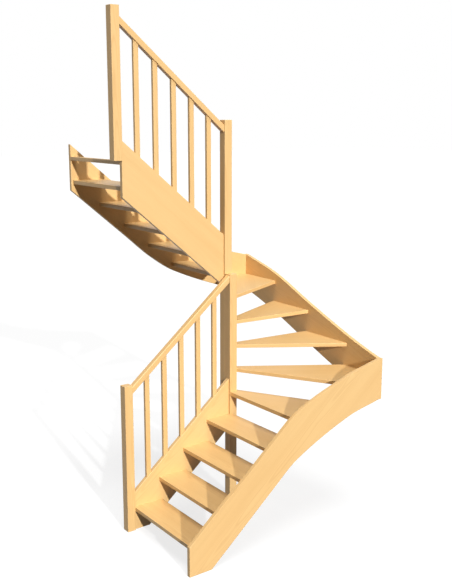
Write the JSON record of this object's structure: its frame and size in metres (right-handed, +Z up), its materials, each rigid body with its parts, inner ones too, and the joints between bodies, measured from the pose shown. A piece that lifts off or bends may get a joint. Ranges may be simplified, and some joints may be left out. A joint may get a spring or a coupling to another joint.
{
  "type": "double quarter-turn staircase",
  "caption": "Open-riser timber wall stair that turns back on itself with winding treads, closed strings, square newel posts and a flat-baluster rail on each straight flight.",
  "frame": {"origin": "centre of the start post's foot, on the ground floor", "axes": "+X along the lower flight, in the direction of climb; +Y from the lower flight to the upper flight; +Z up"},
  "size_m": [1.838, 1.755, 3.8553],
  "materials": {
    "string_wood": "satin lacquered pale softwood",
    "post_wood": "satin lacquered pale softwood",
    "rail_wood": "satin lacquered pale softwood",
    "baluster_wood": "satin lacquered pale softwood",
    "tread_wood": "satin lacquered pale softwood"
  },
  "bodies": {
    "root": {"lower_wall_string": "string_wood", "middle_wall_string": "string_wood", "upper_wall_string": "string_wood", "lower_inner_string": "string_wood", "upper_inner_string": "string_wood", "start_post": "post_wood", "lower_turn_post": "post_wood", "upper_turn_post": "post_wood", "landing_post": "post_wood", "lower_handrail": "rail_wood", "upper_handrail": "rail_wood", "lower_baluster_1": "baluster_wood", "lower_baluster_2": "baluster_wood", "lower_baluster_3": "baluster_wood", "lower_baluster_4": "baluster_wood", "lower_baluster_5": "baluster_wood", "upper_baluster_1": "baluster_wood", "upper_baluster_2": "baluster_wood", "upper_baluster_3": "baluster_wood", "upper_baluster_4": "baluster_wood", "upper_baluster_5": "baluster_wood", "tread_1": "tread_wood", "tread_2": "tread_wood", "tread_3": "tread_wood", "tread_4": "tread_wood", "tread_5": "tread_wood", "tread_6": "tread_wood", "tread_7": "tread_wood", "tread_8": "tread_wood", "tread_9": "tread_wood", "tread_10": "tread_wood", "tread_11": "tread_wood", "tread_12": "tread_wood", "tread_13": "tread_wood", "tread_14": "tread_wood", "tread_15": "tread_wood"}
  },
  "joints": []
}
